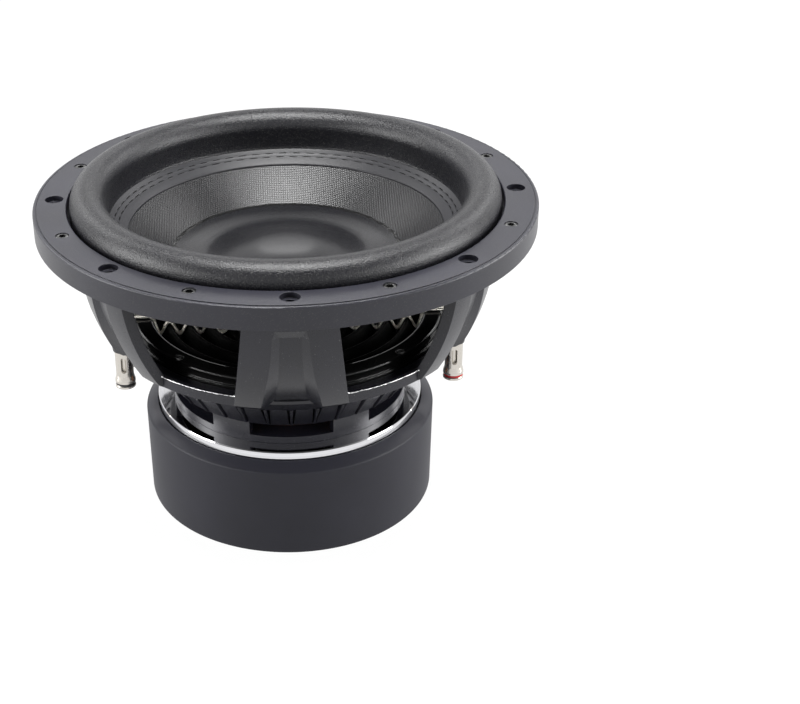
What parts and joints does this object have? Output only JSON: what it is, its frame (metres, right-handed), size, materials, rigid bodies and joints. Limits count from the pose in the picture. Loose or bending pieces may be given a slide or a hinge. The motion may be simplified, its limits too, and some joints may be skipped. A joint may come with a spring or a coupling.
{
  "type": "car subwoofer driver",
  "caption": "Long-throw round woofer driver: dished cone on a roll surround and spider, spoked cast basket, rubber-booted magnet motor and spring push terminals.",
  "frame": {"origin": "on the axis, on the flat of the bumped back plate that the driver stands on", "axes": "+Z along the axis out of the cone, -Y towards one spoke of the basket, terminals at +X and -X"},
  "size_m": [0.324, 0.324, 0.2367],
  "materials": {
    "plated_steel": "polished, turned",
    "bare_steel": "machined",
    "ferrite": "matte",
    "black_gloss_steel": "gloss",
    "boot_rubber": "satin",
    "basket_coat": "fine powder coat",
    "ring_coat": "speckled matte",
    "surround_foam": "fine grained",
    "cone_weave": "coated twill",
    "cap_satin": "satin",
    "former": "dark anodised",
    "winding_copper": "lacquered copper",
    "spider_cloth": "resin treated cloth",
    "clamp_gloss": "gloss",
    "screw_black": "black oxide",
    "lead_braid": "tinned braid",
    "collar_plastic": "satin",
    "nickel": "satin nickel",
    "spring_steel": "bright",
    "polarity_red": "gloss",
    "polarity_black": "gloss"
  },
  "bodies": {
    "chassis": {"back_plate": "plated_steel", "back_plate_screws": "screw_black", "pole_piece": "bare_steel", "magnet_lower": "ferrite", "magnet_upper": "ferrite", "top_plate": "black_gloss_steel", "motor_boot": "boot_rubber", "basket": "basket_coat", "basket_screws": "screw_black", "trim_ring": "ring_coat", "trim_ring_screws": "screw_black", "surround_roll": "surround_foam", "spider": "spider_cloth", "spider_clamp_ring": "clamp_gloss", "spider_clamp_screws": "screw_black", "tinsel_leads_left": "lead_braid", "tinsel_leads_right": "lead_braid", "terminal_collars": "collar_plastic", "terminal_posts": "nickel", "terminal_nuts": "nickel", "terminal_spring_right_front": "spring_steel", "terminal_spring_right_rear": "spring_steel", "terminal_spring_left_rear": "spring_steel", "terminal_spring_left_front": "spring_steel"},
    "moving_assembly": {"cone": "cone_weave", "stitched_band": "surround_foam", "dust_cap": "cap_satin", "voice_coil_former": "former", "voice_coil_windings": "winding_copper"},
    "terminal_right_front": {"terminal_sleeve_right_front": "nickel", "terminal_colour_ring_right_front": "polarity_red", "terminal_cap_right_front": "nickel"},
    "terminal_right_rear": {"terminal_sleeve_right_rear": "nickel", "terminal_colour_ring_right_rear": "polarity_black", "terminal_cap_right_rear": "nickel"},
    "terminal_left_rear": {"terminal_sleeve_left_rear": "nickel", "terminal_colour_ring_left_rear": "polarity_red", "terminal_cap_left_rear": "nickel"},
    "terminal_left_front": {"terminal_sleeve_left_front": "nickel", "terminal_colour_ring_left_front": "polarity_black", "terminal_cap_left_front": "nickel"}
  },
  "joints": [
    {"name": "cone_excursion", "type": "slide", "parent": "chassis", "child": "moving_assembly", "axis": [0, 0, 1], "range_m": [-0.019, 0.019], "stiffness_N_per_m": 8000, "deforming": ["surround_roll", "spider", "tinsel_leads_left", "tinsel_leads_right"]},
    {"name": "terminal_push_right_front", "type": "slide", "parent": "chassis", "child": "terminal_right_front", "axis": [0, 0, 1], "range_m": [0, 0.005], "stiffness_N_per_m": 900, "springref_m": -0.004, "deforming": ["terminal_spring_right_front"]},
    {"name": "terminal_push_right_rear", "type": "slide", "parent": "chassis", "child": "terminal_right_rear", "axis": [0, 0, 1], "range_m": [0, 0.005], "stiffness_N_per_m": 900, "springref_m": -0.004, "deforming": ["terminal_spring_right_rear"]},
    {"name": "terminal_push_left_rear", "type": "slide", "parent": "chassis", "child": "terminal_left_rear", "axis": [0, 0, 1], "range_m": [0, 0.005], "stiffness_N_per_m": 900, "springref_m": -0.004, "deforming": ["terminal_spring_left_rear"]},
    {"name": "terminal_push_left_front", "type": "slide", "parent": "chassis", "child": "terminal_left_front", "axis": [0, 0, 1], "range_m": [0, 0.005], "stiffness_N_per_m": 900, "springref_m": -0.004, "deforming": ["terminal_spring_left_front"]}
  ]
}
